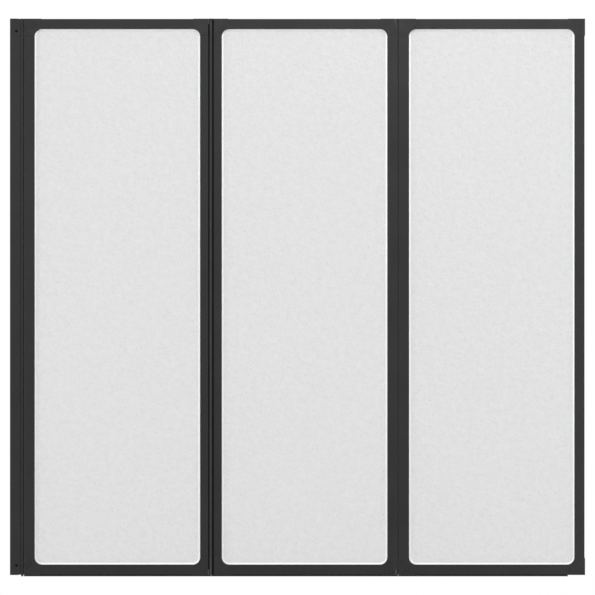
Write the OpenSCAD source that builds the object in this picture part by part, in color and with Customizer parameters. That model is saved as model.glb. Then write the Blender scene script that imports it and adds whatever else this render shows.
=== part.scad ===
// Folding bath screen: three framed panes, hinged to each other and to a channel on the wall.
// X runs from the wall along the open screen, Y goes to its back and Z goes up. Millimetres.
// The origin is on the wall face, at mid-depth, on the middle wall screw.

/* [Whole screen] */
// Height of the frames, without the skin of their corner pieces
frame_h = 1206.5; // [1000:0.5:1500]
// Distance between two hinge axes, the width of the first and second panel
panel_w = 406.5; // [300:0.5:600]
// Width of the last panel, from its hinge axis to its free side
end_panel_w = 404.5; // [300:0.5:600]
// Thickness of the frame profiles
frame_t = 18; // [17:0.5:24]

/* [Frame profiles] */
// Face width of a hinged stile, from the middle of its seam
stile_w = 23.6; // [22.5:0.1:32]
// Face width of the free stile
end_stile_w = 21.8; // [21:0.1:32]
// Face height of the rails
rail_h = 21.9; // [20:0.1:32]
// Wall of the hollow profiles
wall_t = 1.4; // [1:0.1:1.8]
// Radius of the outer edges
edge_r = 1; // [0.4:0.1:1.5]
// Width of the groove that holds the pane
groove_w = 7; // [6:0.1:8]
// Depth of the groove that holds the pane
groove_d = 8.5; // [8.3:0.1:9]

/* [Corner pieces] */
// How far each arm reaches past the pane's opening
corner_reach = 14.3; // [10:0.1:24]
// Radius of the opening's corners
fillet_r = 16; // [12:0.5:22]
// Skin of a corner piece over each face of the frame
face_skin = 0.5; // [0.3:0.05:0.6]
// Skin of a corner piece over the top and bottom of the frame
end_skin = 0.65; // [0.3:0.05:1.2]
// Skin of a corner piece over the free side of the frame
side_skin = 1.2; // [0.4:0.1:2]
// Length of the tongues inside the profiles
tongue_l = 25; // [12:1:40]
// Clearance round a tongue
tongue_fit = 0.15; // [0.05:0.05:0.3]

/* [Hinges] */
// Distance from the wall to the first hinge axis
wall_axis_x = 29.6; // [29.5:0.1:32]
// How far a hinge axis stands proud of the frame's face
axis_proud = 1.6; // [1.4:0.1:2]
// Radius of the hinge barrels
barrel_r = 3.2; // [3:0.1:3.6]
// Radius of the round pocket in which a barrel turns
pocket_r = 6; // [5.6:0.1:6.4]
// Thickness of the web that carries a barrel or lug
web_t = 2.2; // [1.4:0.1:2.6]
// Seam between two panels
seam = 0.6; // [0.3:0.05:0.8]
// Seam between the first panel and its post
wall_seam = 0.9; // [0.4:0.05:1]
// Radius of the hinge pins
pin_r = 1.5; // [1.2:0.05:1.7]
// Running clearance of a pin in its bush
pin_fit = 0.05; // [0.02:0.01:0.1]
// Wall of the hinge bushes
bush_wall = 0.65; // [0.4:0.05:0.8]
// Length of a bush inside its barrel
bush_l = 16; // [8:1:20]
// Radius of a bush's flange
bush_flange_r = 3; // [2.6:0.1:3.2]
// Thickness of a bush's flange
bush_flange_t = 0.8; // [0.5:0.1:1.5]
// Clearance between a bush's flange and the lug over it
axial_fit = 0.15; // [0.05:0.05:0.4]
// Height of the lugs that hold the pins
lug_h = 11.5; // [8:0.5:14]
// Gap between a lug and the step of the corner beside it
lug_gap = 0.4; // [0.2:0.1:0.8]
// Radius of the hollow ramp that rises to the step beside a lug
lug_ramp_r = 5; // [4.5:0.1:8]
// Width of that ramp
lug_ramp_w = 3.6; // [2:0.1:4]
// Radius of the crown that slopes down to the seam on the far face
far_crown_r = 17.5; // [12:0.5:24]
// Width of that crown
far_crown_w = 8.8; // [5:0.1:9.5]
// How far a pin's end lies below the lug's end
pin_recess = 0.4; // [0.1:0.1:1]

/* [Panes] */
// Thickness of a pane
pane_t = 3; // [2.5:0.1:4]
// How far a pane's edge goes into the frame
pane_in = 7; // [6:0.1:7]
// Radius of a pane's corners
pane_corner_r = 5; // [2:0.5:8]
// Thickness of the glazing gasket round a pane's edge
gasket_t = 1.2; // [0.8:0.1:1.3]
// How far the gasket's lips show past the frame
gasket_lip = 3.4; // [1:0.1:4.5]
// Clearance of the gasket in its groove
gasket_fit = 0.1; // [0.05:0.05:0.3]

/* [Bottom seal] */
// How far the seal hangs below the corner pieces
seal_drop = 3.2; // [2:0.1:8]
// Width of the seal's strip
seal_w = 10; // [8:0.5:14]
// Thickness of the seal's strip
seal_strip_t = 0.9; // [0.6:0.1:1.4]
// Number of wiping lips under the strip
seal_lips = 3; // [2:1:4]
// Thickness of a lip at its foot
seal_lip_t = 1.5; // [0.8:0.1:2]
// Thickness of a lip at its tip
seal_tip_t = 0.5; // [0.3:0.1:0.8]
// Width of the neck that passes through the rail
seal_neck_w = 2.4; // [1.6:0.1:3]
// Width of the root that is drawn into the rail
seal_root_w = 5; // [4:0.1:6]
// Height of the root
seal_root_h = 1.6; // [1:0.1:2]
// Clearance of the seal's neck and root
seal_fit = 0.2; // [0.1:0.05:0.3]

/* [Wall channel] */
// Width of the channel as seen from the front
channel_w = 22; // [19.5:0.1:22.5]
// Thickness of the channel's web
channel_web = 2; // [1.6:0.1:2.6]
// Thickness of the channel's two flanges
flange_t = 1.7; // [1.4:0.1:2.4]
// Clearance of the post in the channel, on each side
post_fit = 0.3; // [0.1:0.05:0.6]
// Distance from the wall to the post, with room for the screw heads
post_x = 7; // [6:0.1:8]
// Gap between the channel's mouth and the bracket's outer block
bracket_gap = 0.9; // [0.4:0.1:1.2]
// Width of the channel's end caps
cap_w = 18.3; // [15:0.1:19]
// Depth of a cap's plug in the channel
plug_h = 8; // [4:0.5:14]
// Wall of a cap's plug
plug_wall = 1.2; // [0.8:0.1:1.4]
// Radius of the wall screws' holes
fixing_r = 2.75; // [2:0.05:3.5]
// Distance between the wall screws' holes
fixing_pitch = 500; // [300:5:560]

/* [Adjusting screws] */
// Distance from the wall to the adjusting screws
adjust_x = 13.9; // [12.5:0.1:15]
// Depth of the upper adjusting screw below the frame's top
adjust_top = 26.7; // [18:0.1:30]
// Height of the lower adjusting screw above the frame's bottom
adjust_bottom = 20; // [16:0.1:30]
// Radius of the adjusting screws' shanks
adjust_r = 1.5; // [1.2:0.05:1.7]
// Radius of their countersunk heads
adjust_head_r = 2.8; // [2.4:0.1:3.2]
// Length of their shanks inside the bracket
adjust_l = 9; // [5:0.5:9.5]
// How far their heads lie below the channel's face
adjust_sink = 0.2; // [0:0.05:0.4]
// Radius of the hexagon socket in their heads
socket_r = 1.3; // [1:0.1:1.5]

/* [Frame screws] */
// Radius of the screws that join corner pieces and stiles
screw_r = 1.6; // [1.2:0.05:1.8]
// Radius of their heads
screw_head_r = 2.5; // [2.2:0.1:2.6]
// Height of their heads
screw_head_h = 1.8; // [1.2:0.1:2.4]
// Clearance of the heads and shanks in a corner piece
screw_fit = 0.3; // [0.1:0.05:0.3]
// Depth of the head's seat below the frame's end
screw_sink = 23; // [14:1:30]
// Length of a screw in the stile's port
screw_bite = 14; // [8:1:30]
// Outer radius of a screw port
port_r = 2.9; // [2.6:0.1:3]
// How deep a port is sunk into the profile's walls
port_blend = 0.3; // [0.1:0.1:0.6]

/* [Hidden] */
$fn = 48;
cut = 1;
panels = 3;

axis_y = frame_t / 2 + axis_proud;
corner_t = frame_t + 2 * face_skin;
end_z = frame_h / 2;
top_z = end_z + end_skin;
opening_z = end_z - rail_h;
arm_z = opening_z - corner_reach;
lug_z = top_z - lug_h;
barrel_z = lug_z - axial_fit - bush_flange_t;
channel_t = frame_t + 2 * (post_fit + flange_t);
post_w = wall_axis_x - post_x;
bracket_w = wall_axis_x - channel_w - bracket_gap;
bush_r = pin_r + pin_fit + bush_wall;
barrel_bore_r = pin_r + 4 * pin_fit;
port_in = port_r - port_blend;
seat_z = end_z - screw_sink;
seal_z = top_z;
slot_h = seal_root_h + 2 * seal_fit;
gasket_out = pane_in + gasket_t;

frame_colour = [0.235, 0.24, 0.25];
moulding_colour = [0.21, 0.215, 0.225];
pane_colour = [0.89, 0.9, 0.9, 0.85];
gasket_colour = [0.96, 0.96, 0.95];
seal_colour = [0.12, 0.12, 0.12];
steel_colour = [0.66, 0.67, 0.68];
bush_colour = [0.1, 0.1, 0.1];
black_screw_colour = [0.08, 0.08, 0.085];

WALL_NODES = [
  "wall_profile", "wall_cap_top", "wall_cap_bottom", "hinge_post", "post_bracket_top",
  "post_bracket_bottom", "post_screws", "adjusting_screws", "wall_hinge_pins"
];
PANEL_NODES = [
  "left_stile", "right_stile", "top_rail", "bottom_rail", "corner_top_left", "corner_top_right",
  "corner_bottom_left", "corner_bottom_right", "pane", "glazing_gasket", "bottom_seal",
  "hinge_bushes", "frame_screws", "hinge_pins"
];

function part_name(n, name) = str("panel_", n, "_", name);
function is_end(n) = n == panels;
function hinge_x(k) = wall_axis_x + k * panel_w;
// The barrels alternate, so that the panels fold in a zigzag: back, front, back.
function barrel_in_front(k) = k % 2 == 1;
function half_seam(k) = (k == 0 ? wall_seam : seam) / 2;
function panel_left(n) = hinge_x(n - 1);
function panel_right(n) = is_end(n) ? hinge_x(n - 1) + end_panel_w : hinge_x(n);
function right_stile_w(n) = is_end(n) ? end_stile_w : stile_w;
function port_u(inner) = inner - wall_t - port_in;
function port_v() = frame_t / 2 - wall_t - port_in;

// Local frame of whatever lies right of hinge k: u runs away from the axis, v towards the barrel's face.
module right_of_hinge(k) {
  translate([hinge_x(k), 0, 0]) mirror([0, barrel_in_front(k) ? 1 : 0, 0]) children();
}

// The same for whatever lies left of hinge k.
module left_of_hinge(k) {
  translate([hinge_x(k), 0, 0]) mirror([1, 0, 0]) mirror([0, barrel_in_front(k) ? 1 : 0, 0]) children();
}

// The right side of panel n: left of the next hinge, or the free side.
module right_side(n) {
  if (is_end(n)) translate([panel_right(n), 0, 0]) mirror([1, 0, 0]) children();
  else left_of_hinge(n) children();
}

module at_both_ends() {
  children();
  mirror([0, 0, 1]) children();
}

// Extrudes a (Y, Z) shape from x0 to x1.
module along_x(x0, x1) {
  translate([x0, 0, 0]) rotate([90, 0, 90]) linear_extrude(x1 - x0) children();
}

// Extrudes an (X, Z) shape through the thickness t, about mid-depth.
module along_y(t) {
  rotate([90, 0, 0]) linear_extrude(t, center = true) children();
}

// Extrudes a plan shape from z0 to z1.
module upright(z0, z1) {
  translate([0, 0, z0]) linear_extrude(z1 - z0) children();
}

// Rectangle between two corners.
module box_2d(low, high) {
  translate(low) square(high - low);
}

// Rectangle between two corners, with round corners.
module round_box_2d(low, high, r) {
  box_2d([low[0] + r, low[1]], [high[0] - r, high[1]]);
  box_2d([low[0], low[1] + r], [high[0], high[1] - r]);
  for (x = [low[0] + r, high[0] - r], y = [low[1] + r, high[1] - r])
    translate([x, y]) circle(r = r);
}

module around_axis_2d(r) {
  translate([0, axis_y]) circle(r = r);
}

// A barrel or lug with its web, which stands straight behind the axis beside the seam.
module knuckle_2d(start) {
  around_axis_2d(barrel_r);
  box_2d([start, axis_y - pocket_r - wall_t / 2], [start + web_t, axis_y]);
}

// The port that a frame screw bites into, filled out to the profile's corner.
// inner is the plane of the profile's inner side, side is the face that the port lies at.
module port_2d(inner, side, fit) {
  translate([port_u(inner), side * port_v()]) {
    circle(r = port_r + fit);
    mirror([0, side < 0 ? 1 : 0]) square([port_in + wall_t, port_in + wall_t]);
  }
}

// The hollow of an upright profile. With a fit it is the section of the tongue that goes in.
module chamber_2d(start, inner, side, hinged, fit) {
  edge = wall_t + fit;
  difference() {
    box_2d([start + edge, edge - frame_t / 2], [inner - edge, frame_t / 2 - edge]);
    if (hinged) around_axis_2d(pocket_r + edge);
    port_2d(inner, side, fit);
  }
}

// Section of a stile: hollow, with the pane's groove, a screw port and on hinged sides a pocket.
module stile_2d(start, w, hinged, barrel) {
  inner = w - groove_d;
  difference() {
    union() {
      difference() {
        round_box_2d([start, -frame_t / 2], [w, frame_t / 2], edge_r);
        if (hinged) around_axis_2d(pocket_r);
      }
      if (barrel) knuckle_2d(start);
    }
    chamber_2d(start, inner, -1, hinged, 0);
    box_2d([inner, -groove_w / 2], [w + cut, groove_w / 2]);
    translate([port_u(inner), -port_v()]) circle(r = screw_r);
    if (barrel) around_axis_2d(barrel_bore_r);
  }
}

// Section of the post that slides in the channel.
module post_2d() {
  start = half_seam(0);
  difference() {
    round_box_2d([start, -frame_t / 2], [post_w, frame_t / 2], edge_r);
    around_axis_2d(pocket_r);
    chamber_2d(start, post_w, 1, true, 0);
    translate([port_u(post_w), port_v()]) circle(r = screw_r);
  }
}

// The slot that holds the seal, in the outer face of the bottom rail.
module seal_slot_2d() {
  mouth = seal_neck_w / 2 + seal_fit;
  room = seal_root_w / 2 + seal_fit;
  box_2d([-mouth, end_z - wall_t - cut], [mouth, end_z + cut]);
  box_2d([-room, end_z - wall_t - slot_h], [room, end_z - wall_t]);
}

// The hollow of a rail, drawn as the top one. With a fit it is the section of the tongue.
module rail_chamber_2d(slotted, fit) {
  edge = wall_t + fit;
  difference() {
    box_2d([edge - frame_t / 2, opening_z + groove_d + edge], [frame_t / 2 - edge, end_z - edge]);
    if (slotted) {
      block = seal_root_w / 2 + seal_fit + edge;
      box_2d([-block, end_z - wall_t - slot_h - edge], [block, end_z]);
    }
  }
}

// Section of a rail, drawn as the top one.
module rail_2d(slotted) {
  difference() {
    round_box_2d([-frame_t / 2, opening_z], [frame_t / 2, end_z], edge_r);
    rail_chamber_2d(slotted, 0);
    box_2d([-groove_w / 2, opening_z - cut], [groove_w / 2, opening_z + groove_d]);
    if (slotted) seal_slot_2d();
  }
}

// The pane's opening near one top corner, grown by grow, out to far and down to low.
module opening_corner_2d(w, far, low, grow, r) {
  side = w - grow;
  head = opening_z + grow;
  translate([side + r, head - r]) circle(r = r);
  box_2d([side, low], [far, head - r]);
  box_2d([side + r, low], [far, head]);
}

// Outer form of a corner piece: two arms with rounded edges and a round inner corner.
module corner_shell(start, w) {
  far = w + corner_reach;
  past = 2 * edge_r;
  intersection() {
    upright(arm_z, top_z + cut) round_box_2d([start, -corner_t / 2], [far + past, corner_t / 2], edge_r);
    along_x(start - cut, far + cut)
      round_box_2d([-corner_t / 2, arm_z - past], [corner_t / 2, top_z], edge_r);
    along_y(corner_t + cut) difference() {
      box_2d([start - cut, arm_z], [far, top_z + cut]);
      opening_corner_2d(w, w + fillet_r + past, arm_z - cut, 0, fillet_r);
    }
  }
}

// Where the pane and its gasket go into a corner piece.
module corner_groove(w) {
  far = w + corner_reach + tongue_l + cut;
  low = arm_z - tongue_l - cut;
  along_y(groove_w) opening_corner_2d(w, far, low, groove_d, pane_corner_r + gasket_t);
}

// Cuts the crown that slopes a corner piece's far face down to the seam beside its lug.
module far_crown_2d(start) {
  translate([start + far_crown_w, -corner_t / 2]) difference() {
    box_2d([-far_crown_w - cut, -cut], [0, far_crown_r]);
    translate([0, far_crown_r]) circle(r = far_crown_r);
  }
}

// The hollow ramp on a corner piece's face that rises to the step beside its lug.
module lug_ramp_2d() {
  step = barrel_r + lug_gap;
  face = corner_t / 2;
  rise = lug_ramp_r - sqrt(lug_ramp_r * lug_ramp_r - lug_ramp_w * lug_ramp_w);
  difference() {
    box_2d([step, face - cut], [step + lug_ramp_w, face + rise]);
    translate([step + lug_ramp_w, face + lug_ramp_r]) circle(r = lug_ramp_r);
  }
}

// Cuts the pocket below a lug, and the step that clears the lug from its corner piece.
module lug_cuts(start) {
  upright(arm_z - tongue_l - cut, lug_z) around_axis_2d(pocket_r);
  upright(lug_z - cut, top_z + cut)
    box_2d([start - cut, axis_y - pocket_r], [barrel_r + lug_gap, corner_t / 2 + cut]);
}

module lug(start) {
  upright(lug_z, top_z) knuckle_2d(start);
}

module pin_bore() {
  upright(lug_z - cut, top_z + cut) around_axis_2d(pin_r);
}

// Hole and deep seat for a frame screw.
module screw_cut(inner, side) {
  translate([port_u(inner), side * port_v(), 0]) {
    upright(arm_z - tongue_l - cut, top_z + cut) circle(r = screw_r + screw_fit);
    upright(seat_z, top_z + cut) circle(r = screw_head_r + screw_fit);
  }
}

// One corner piece, drawn at the top. kind is "barrel", "lug" or "free".
module corner_piece(start, w, kind, slotted) {
  hinged = kind != "free";
  shell_start = hinged ? start : -side_skin;
  inner = w - groove_d;
  difference() {
    union() {
      difference() {
        corner_shell(shell_start, w);
        if (kind == "barrel") upright(arm_z - cut, top_z + cut) around_axis_2d(pocket_r);
        if (kind == "lug") {
          lug_cuts(start);
          upright(lug_z - cut, top_z + cut) far_crown_2d(start);
        }
      }
      if (kind == "lug") upright(lug_z, top_z - edge_r) lug_ramp_2d();
      upright(arm_z - tongue_l, arm_z + cut) chamber_2d(start, inner, -1, hinged, tongue_fit);
      along_x(w + corner_reach - cut, w + corner_reach + tongue_l) rail_chamber_2d(slotted, tongue_fit);
      if (kind == "barrel") upright(arm_z, barrel_z) knuckle_2d(start);
      if (kind == "lug") lug(start);
    }
    corner_groove(w);
    screw_cut(inner, -1);
    if (kind == "barrel") {
      upright(arm_z - cut, barrel_z + cut) around_axis_2d(barrel_bore_r);
      upright(barrel_z - bush_l, barrel_z + cut) around_axis_2d(bush_r);
    }
    if (kind == "lug") pin_bore();
  }
}

// Bracket at the post's end, drawn at the top: fills the channel's mouth and holds the pin.
module post_bracket(adjust_depth) {
  start = half_seam(0);
  face = corner_t / 2;
  difference() {
    union() {
      difference() {
        union() {
          upright(arm_z, top_z) round_box_2d([start, -face], [bracket_w, face], edge_r);
          upright(arm_z, end_z) box_2d([bracket_w - edge_r, -frame_t / 2], [post_w, frame_t / 2]);
        }
        lug_cuts(start);
      }
      upright(arm_z - tongue_l, arm_z + cut) chamber_2d(start, post_w, 1, true, tongue_fit);
      lug(start);
    }
    pin_bore();
    screw_cut(post_w, 1);
    translate([wall_axis_x - adjust_x, -frame_t / 2 - cut, end_z - adjust_depth])
      rotate([-90, 0, 0]) cylinder(r = adjust_r, h = adjust_l + cut);
  }
}

// Screw with a pan head and a cross recess, its head's seat at z = 0.
module frame_screw(l) {
  slot_w = screw_head_r / 4;
  slot_l = screw_head_r;
  difference() {
    union() {
      translate([0, 0, -l]) cylinder(r = screw_r, h = l + cut / 2);
      cylinder(r = screw_head_r, h = screw_head_h / 2);
      translate([0, 0, screw_head_h / 2])
        cylinder(r1 = screw_head_r, r2 = screw_head_r * 0.7, h = screw_head_h / 2);
    }
    for (a = [0, 90]) rotate([0, 0, a])
      translate([-slot_l / 2, -slot_w / 2, screw_head_h / 2]) cube([slot_l, slot_w, screw_head_h]);
  }
}

module screw_at(inner, side) {
  translate([port_u(inner), side * port_v(), seat_z]) frame_screw(seat_z - arm_z + screw_bite);
}

// Pin of one hinge end, from the lug into the bush.
module hinge_pin() {
  translate([0, axis_y, barrel_z - bush_l]) cylinder(r = pin_r, h = top_z - pin_recess - barrel_z + bush_l);
}

// Flanged bush of one hinge end.
module hinge_bush() {
  translate([0, axis_y, barrel_z]) difference() {
    union() {
      translate([0, 0, -bush_l]) cylinder(r = bush_r, h = bush_l);
      cylinder(r = bush_flange_r, h = bush_flange_t);
    }
    translate([0, 0, -bush_l - cut]) cylinder(r = pin_r + pin_fit, h = bush_l + bush_flange_t + 2 * cut);
  }
}

// Adjusting screw, its head's face at y = 0 and its shank along +Y.
module adjusting_screw() {
  cone_h = adjust_head_r - adjust_r;
  gap = flange_t + post_fit - adjust_sink;
  difference() {
    rotate([-90, 0, 0]) {
      cylinder(r1 = adjust_head_r, r2 = adjust_r, h = cone_h);
      translate([0, 0, cone_h / 2]) cylinder(r = adjust_r, h = gap + adjust_l - cone_h / 2);
    }
    rotate([90, 0, 0]) translate([0, 0, -cone_h]) cylinder(r = socket_r, h = cone_h + cut, $fn = 6);
  }
}

module adjusting_places() {
  face_y = -channel_t / 2;
  translate([adjust_x, face_y, end_z - adjust_top]) children();
  translate([adjust_x, face_y, adjust_bottom - end_z]) children();
}

// Wall channel: two flanges with round tips on a web, bored for the wall screws.
module wall_profile() {
  half = channel_t / 2;
  sink_h = adjust_head_r + screw_fit - adjust_r;
  color(frame_colour) difference() {
    upright(-end_z, end_z) {
      box_2d([0, -half], [channel_web, half]);
      for (side = [-1, 1]) {
        translate([channel_w - flange_t / 2, side * (half - flange_t / 2)]) circle(r = flange_t / 2);
        translate([0, side * (half - flange_t / 2) - flange_t / 2])
          square([channel_w - flange_t / 2, flange_t]);
      }
    }
    for (z = [-fixing_pitch, 0, fixing_pitch])
      translate([-cut, 0, z]) rotate([0, 90, 0]) cylinder(r = fixing_r, h = channel_web + 2 * cut);
    adjusting_places() rotate([-90, 0, 0]) {
      translate([0, 0, -cut]) cylinder(r = adjust_r + screw_fit, h = flange_t + 2 * cut);
      cylinder(r1 = adjust_r + screw_fit + sink_h, r2 = adjust_r + screw_fit, h = sink_h);
    }
  }
}

// Cap on the channel's end, drawn at the top, with a hollow plug behind the post.
module wall_cap() {
  low = [channel_web + tongue_fit, -frame_t / 2];
  high = [post_x - tongue_fit, frame_t / 2];
  wall = [plug_wall, plug_wall];
  color(moulding_colour) {
    upright(end_z, top_z) box_2d([0, -channel_t / 2], [cap_w, channel_t / 2]);
    upright(end_z - plug_h, end_z) difference() {
      box_2d(low, high);
      box_2d(low + wall, high - wall);
    }
  }
}

module wall_cap_top() {
  wall_cap();
}

module wall_cap_bottom() {
  mirror([0, 0, 1]) wall_cap();
}

module hinge_post() {
  color(frame_colour) left_of_hinge(0) upright(-arm_z, arm_z) post_2d();
}

module post_bracket_top() {
  color(moulding_colour) left_of_hinge(0) post_bracket(adjust_top);
}

// The lower bracket has a foot that reaches as low as the seals.
module post_bracket_bottom() {
  foot = [half_seam(0) + edge_r, bracket_w - edge_r];
  color(moulding_colour) left_of_hinge(0) mirror([0, 0, 1]) {
    post_bracket(adjust_bottom);
    upright(top_z - cut, top_z + seal_drop) difference() {
      box_2d([foot[0], -seal_w / 2], [foot[1], seal_w / 2]);
      around_axis_2d(pocket_r);
    }
  }
}

module post_screws() {
  color(steel_colour) left_of_hinge(0) at_both_ends() screw_at(post_w, 1);
}

module adjusting_screws() {
  color(black_screw_colour) adjusting_places() translate([0, adjust_sink, 0]) adjusting_screw();
}

module wall_hinge_pins() {
  color(steel_colour) left_of_hinge(0) at_both_ends() hinge_pin();
}

module left_stile(n) {
  color(frame_colour) right_of_hinge(n - 1) upright(-arm_z, arm_z)
    stile_2d(half_seam(n - 1), stile_w, true, true);
}

module right_stile(n) {
  start = is_end(n) ? 0 : half_seam(n);
  color(frame_colour) right_side(n) upright(-arm_z, arm_z)
    stile_2d(start, right_stile_w(n), !is_end(n), false);
}

module rail(n, slotted) {
  left = panel_left(n) + stile_w + corner_reach;
  right = panel_right(n) - right_stile_w(n) - corner_reach;
  color(frame_colour) along_x(left, right) rail_2d(slotted);
}

module top_rail(n) {
  rail(n, false);
}

module bottom_rail(n) {
  mirror([0, 0, 1]) rail(n, true);
}

module left_corner(n, slotted) {
  color(moulding_colour) right_of_hinge(n - 1)
    corner_piece(half_seam(n - 1), stile_w, "barrel", slotted);
}

module right_corner(n, slotted) {
  kind = is_end(n) ? "free" : "lug";
  start = is_end(n) ? 0 : half_seam(n);
  color(moulding_colour) right_side(n) corner_piece(start, right_stile_w(n), kind, slotted);
}

module corner_top_left(n) {
  left_corner(n, false);
}

module corner_top_right(n) {
  right_corner(n, false);
}

module corner_bottom_left(n) {
  mirror([0, 0, 1]) left_corner(n, true);
}

module corner_bottom_right(n) {
  mirror([0, 0, 1]) right_corner(n, true);
}

// The pane's opening in panel n, grown by grow on every side.
module opening_2d(n, grow, r) {
  low = [panel_left(n) + stile_w - grow, -opening_z - grow];
  high = [panel_right(n) - right_stile_w(n) + grow, opening_z + grow];
  round_box_2d(low, high, r);
}

module pane(n) {
  color(pane_colour) along_y(pane_t) opening_2d(n, pane_in, pane_corner_r);
}

// Gasket that wraps the pane's edge, with two lips that show inside the frame.
module glazing_gasket(n) {
  color(gasket_colour) difference() {
    along_y(groove_w - 2 * gasket_fit) opening_2d(n, gasket_out, pane_corner_r + gasket_t);
    along_y(pane_t) opening_2d(n, pane_in, pane_corner_r);
    along_y(groove_w + cut) opening_2d(n, -gasket_lip, fillet_r - gasket_lip);
  }
}

// Seal under panel n: a strip with wiping lips, and a root that is drawn into the bottom rail.
// Under the last panel it stops at the free corner piece.
module bottom_seal(n) {
  left = panel_left(n) + half_seam(n - 1);
  root_left = panel_left(n) + stile_w + corner_reach;
  root_right = panel_right(n) - right_stile_w(n) - corner_reach;
  right = is_end(n) ? root_right : panel_right(n) - half_seam(n);
  root_z = end_z - wall_t - seal_fit;
  pitch = (seal_w - seal_lip_t) / (seal_lips - 1);
  color(seal_colour) mirror([0, 0, 1]) {
    along_x(left, right) {
      box_2d([-seal_w / 2, seal_z], [seal_w / 2, seal_z + seal_strip_t]);
      for (i = [0:seal_lips - 1])
        translate([(seal_lip_t - seal_w) / 2 + i * pitch, seal_z]) polygon([
          [-seal_lip_t / 2, 0],
          [seal_lip_t / 2, 0],
          [seal_tip_t / 2, seal_drop],
          [-seal_tip_t / 2, seal_drop]
        ]);
    }
    along_x(root_left, root_right) {
      box_2d([-seal_neck_w / 2, root_z - cut / 2], [seal_neck_w / 2, seal_z + seal_strip_t / 2]);
      box_2d([-seal_root_w / 2, root_z - seal_root_h], [seal_root_w / 2, root_z]);
    }
  }
}

module hinge_bushes(n) {
  color(bush_colour) right_of_hinge(n - 1) at_both_ends() hinge_bush();
}

module frame_screws(n) {
  color(steel_colour) {
    right_of_hinge(n - 1) at_both_ends() screw_at(stile_w - groove_d, -1);
    right_side(n) at_both_ends() screw_at(right_stile_w(n) - groove_d, -1);
  }
}

module hinge_pins(n) {
  color(steel_colour) left_of_hinge(n) at_both_ends() hinge_pin();
}

wall_profile();
wall_cap_top();
wall_cap_bottom();
hinge_post();
post_bracket_top();
post_bracket_bottom();
post_screws();
adjusting_screws();
wall_hinge_pins();

for (n = [1:panels]) {
  left_stile(n);
  right_stile(n);
  top_rail(n);
  bottom_rail(n);
  corner_top_left(n);
  corner_top_right(n);
  corner_bottom_left(n);
  corner_bottom_right(n);
  pane(n);
  glazing_gasket(n);
  bottom_seal(n);
  hinge_bushes(n);
  frame_screws(n);
}
for (n = [1:panels - 1])
  hinge_pins(n);
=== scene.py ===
"""Folding bath screen: coated frames, pebbled panes, gaskets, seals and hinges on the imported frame."""

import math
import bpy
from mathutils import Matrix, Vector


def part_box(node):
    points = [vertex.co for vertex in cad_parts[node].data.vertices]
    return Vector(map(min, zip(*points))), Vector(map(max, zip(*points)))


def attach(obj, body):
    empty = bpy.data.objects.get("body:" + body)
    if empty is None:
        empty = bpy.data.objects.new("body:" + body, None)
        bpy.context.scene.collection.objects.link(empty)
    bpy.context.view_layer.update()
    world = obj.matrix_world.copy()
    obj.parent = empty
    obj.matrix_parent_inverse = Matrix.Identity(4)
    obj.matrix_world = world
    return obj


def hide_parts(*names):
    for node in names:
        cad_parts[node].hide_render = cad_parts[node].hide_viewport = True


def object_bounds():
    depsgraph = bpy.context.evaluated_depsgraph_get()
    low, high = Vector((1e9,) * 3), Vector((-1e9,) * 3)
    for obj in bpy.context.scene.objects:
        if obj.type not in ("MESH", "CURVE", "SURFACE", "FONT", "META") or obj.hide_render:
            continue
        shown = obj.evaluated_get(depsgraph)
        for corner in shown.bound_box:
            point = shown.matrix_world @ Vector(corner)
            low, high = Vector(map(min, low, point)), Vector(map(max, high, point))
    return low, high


bl_info = {
    "name": "Folding Bath Screen",
    "version": (1, 0, 0),
    "blender": (4, 5, 0),
    "location": "View3D > Sidebar > Bath Screen",
    "description": "Dresses the frames, panes, gaskets, seals and hinges of a folding bath screen",
    "category": "Object",
}

import bmesh
import bpy
from bpy.props import FloatProperty, FloatVectorProperty, IntProperty, PointerProperty
from mathutils import Matrix, Vector

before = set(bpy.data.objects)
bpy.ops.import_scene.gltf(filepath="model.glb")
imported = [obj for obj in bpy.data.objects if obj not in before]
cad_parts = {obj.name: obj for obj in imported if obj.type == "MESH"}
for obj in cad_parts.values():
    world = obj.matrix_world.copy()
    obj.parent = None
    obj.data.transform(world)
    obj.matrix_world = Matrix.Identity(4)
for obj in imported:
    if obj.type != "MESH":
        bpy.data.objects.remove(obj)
CAD_LOW, CAD_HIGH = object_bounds()
bpy.ops.object.select_all(action="DESELECT")

PANELS = (1, 2, 3)
HINGED_PANELS = (1, 2)
ENDS = ("top", "bottom")
SIDES = ("left", "right")

# Points nearer than this are merged, and faces that turn less than this are one face
MERGE = 1e-6
FLAT = math.radians(0.5)
# Edges that turn more than this are sharp
SHARP = math.radians(35)
# Faces that turn less than this are shaded as one: on most pieces, and where edges were rounded
SMOOTH = math.radians(32)
ROUNDED = math.radians(50)
# A face's corner under this angle is too thin for a rounded edge
THIN_CORNER = math.radians(25)
# A gasket's lip begins this far inside its outer side
LIP_ROOT = 0.009
LIP_FACETS = 4
PIN_SIDES = 32
# Shares of a pane's relief: its pebbles, and wider ripples of this many pebbles
PEBBLE_SHARE = 0.65
RIPPLE_SHARE = 0.35
RIPPLE_WIDTH = 1.6

# Where a pattern's value reaches the darker and the lighter colour
COLOR_ENDS = (0.32, 0.68)

SCREW_SIDES = 20
# Outlines in one turn of a thread
THREAD_RINGS = 5
# A shank's tip has this share of its radius, and each turn adds this share until it is full
TIP_RADIUS = 0.7
TIP_GROWTH = 0.15
# How much steeper than a plain wave a thread's flanks are
FLANK_SLOPE = 1.5
# Shares of a pan head: height of its rim, radius of its flat top, height of the small edge under
# its rim, and radius of its foot
PAN_RIM = 0.35
PAN_TOP = 0.62
PAN_EDGE = 0.06
PAN_FOOT = 0.96
PAN_RINGS = 5
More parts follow.
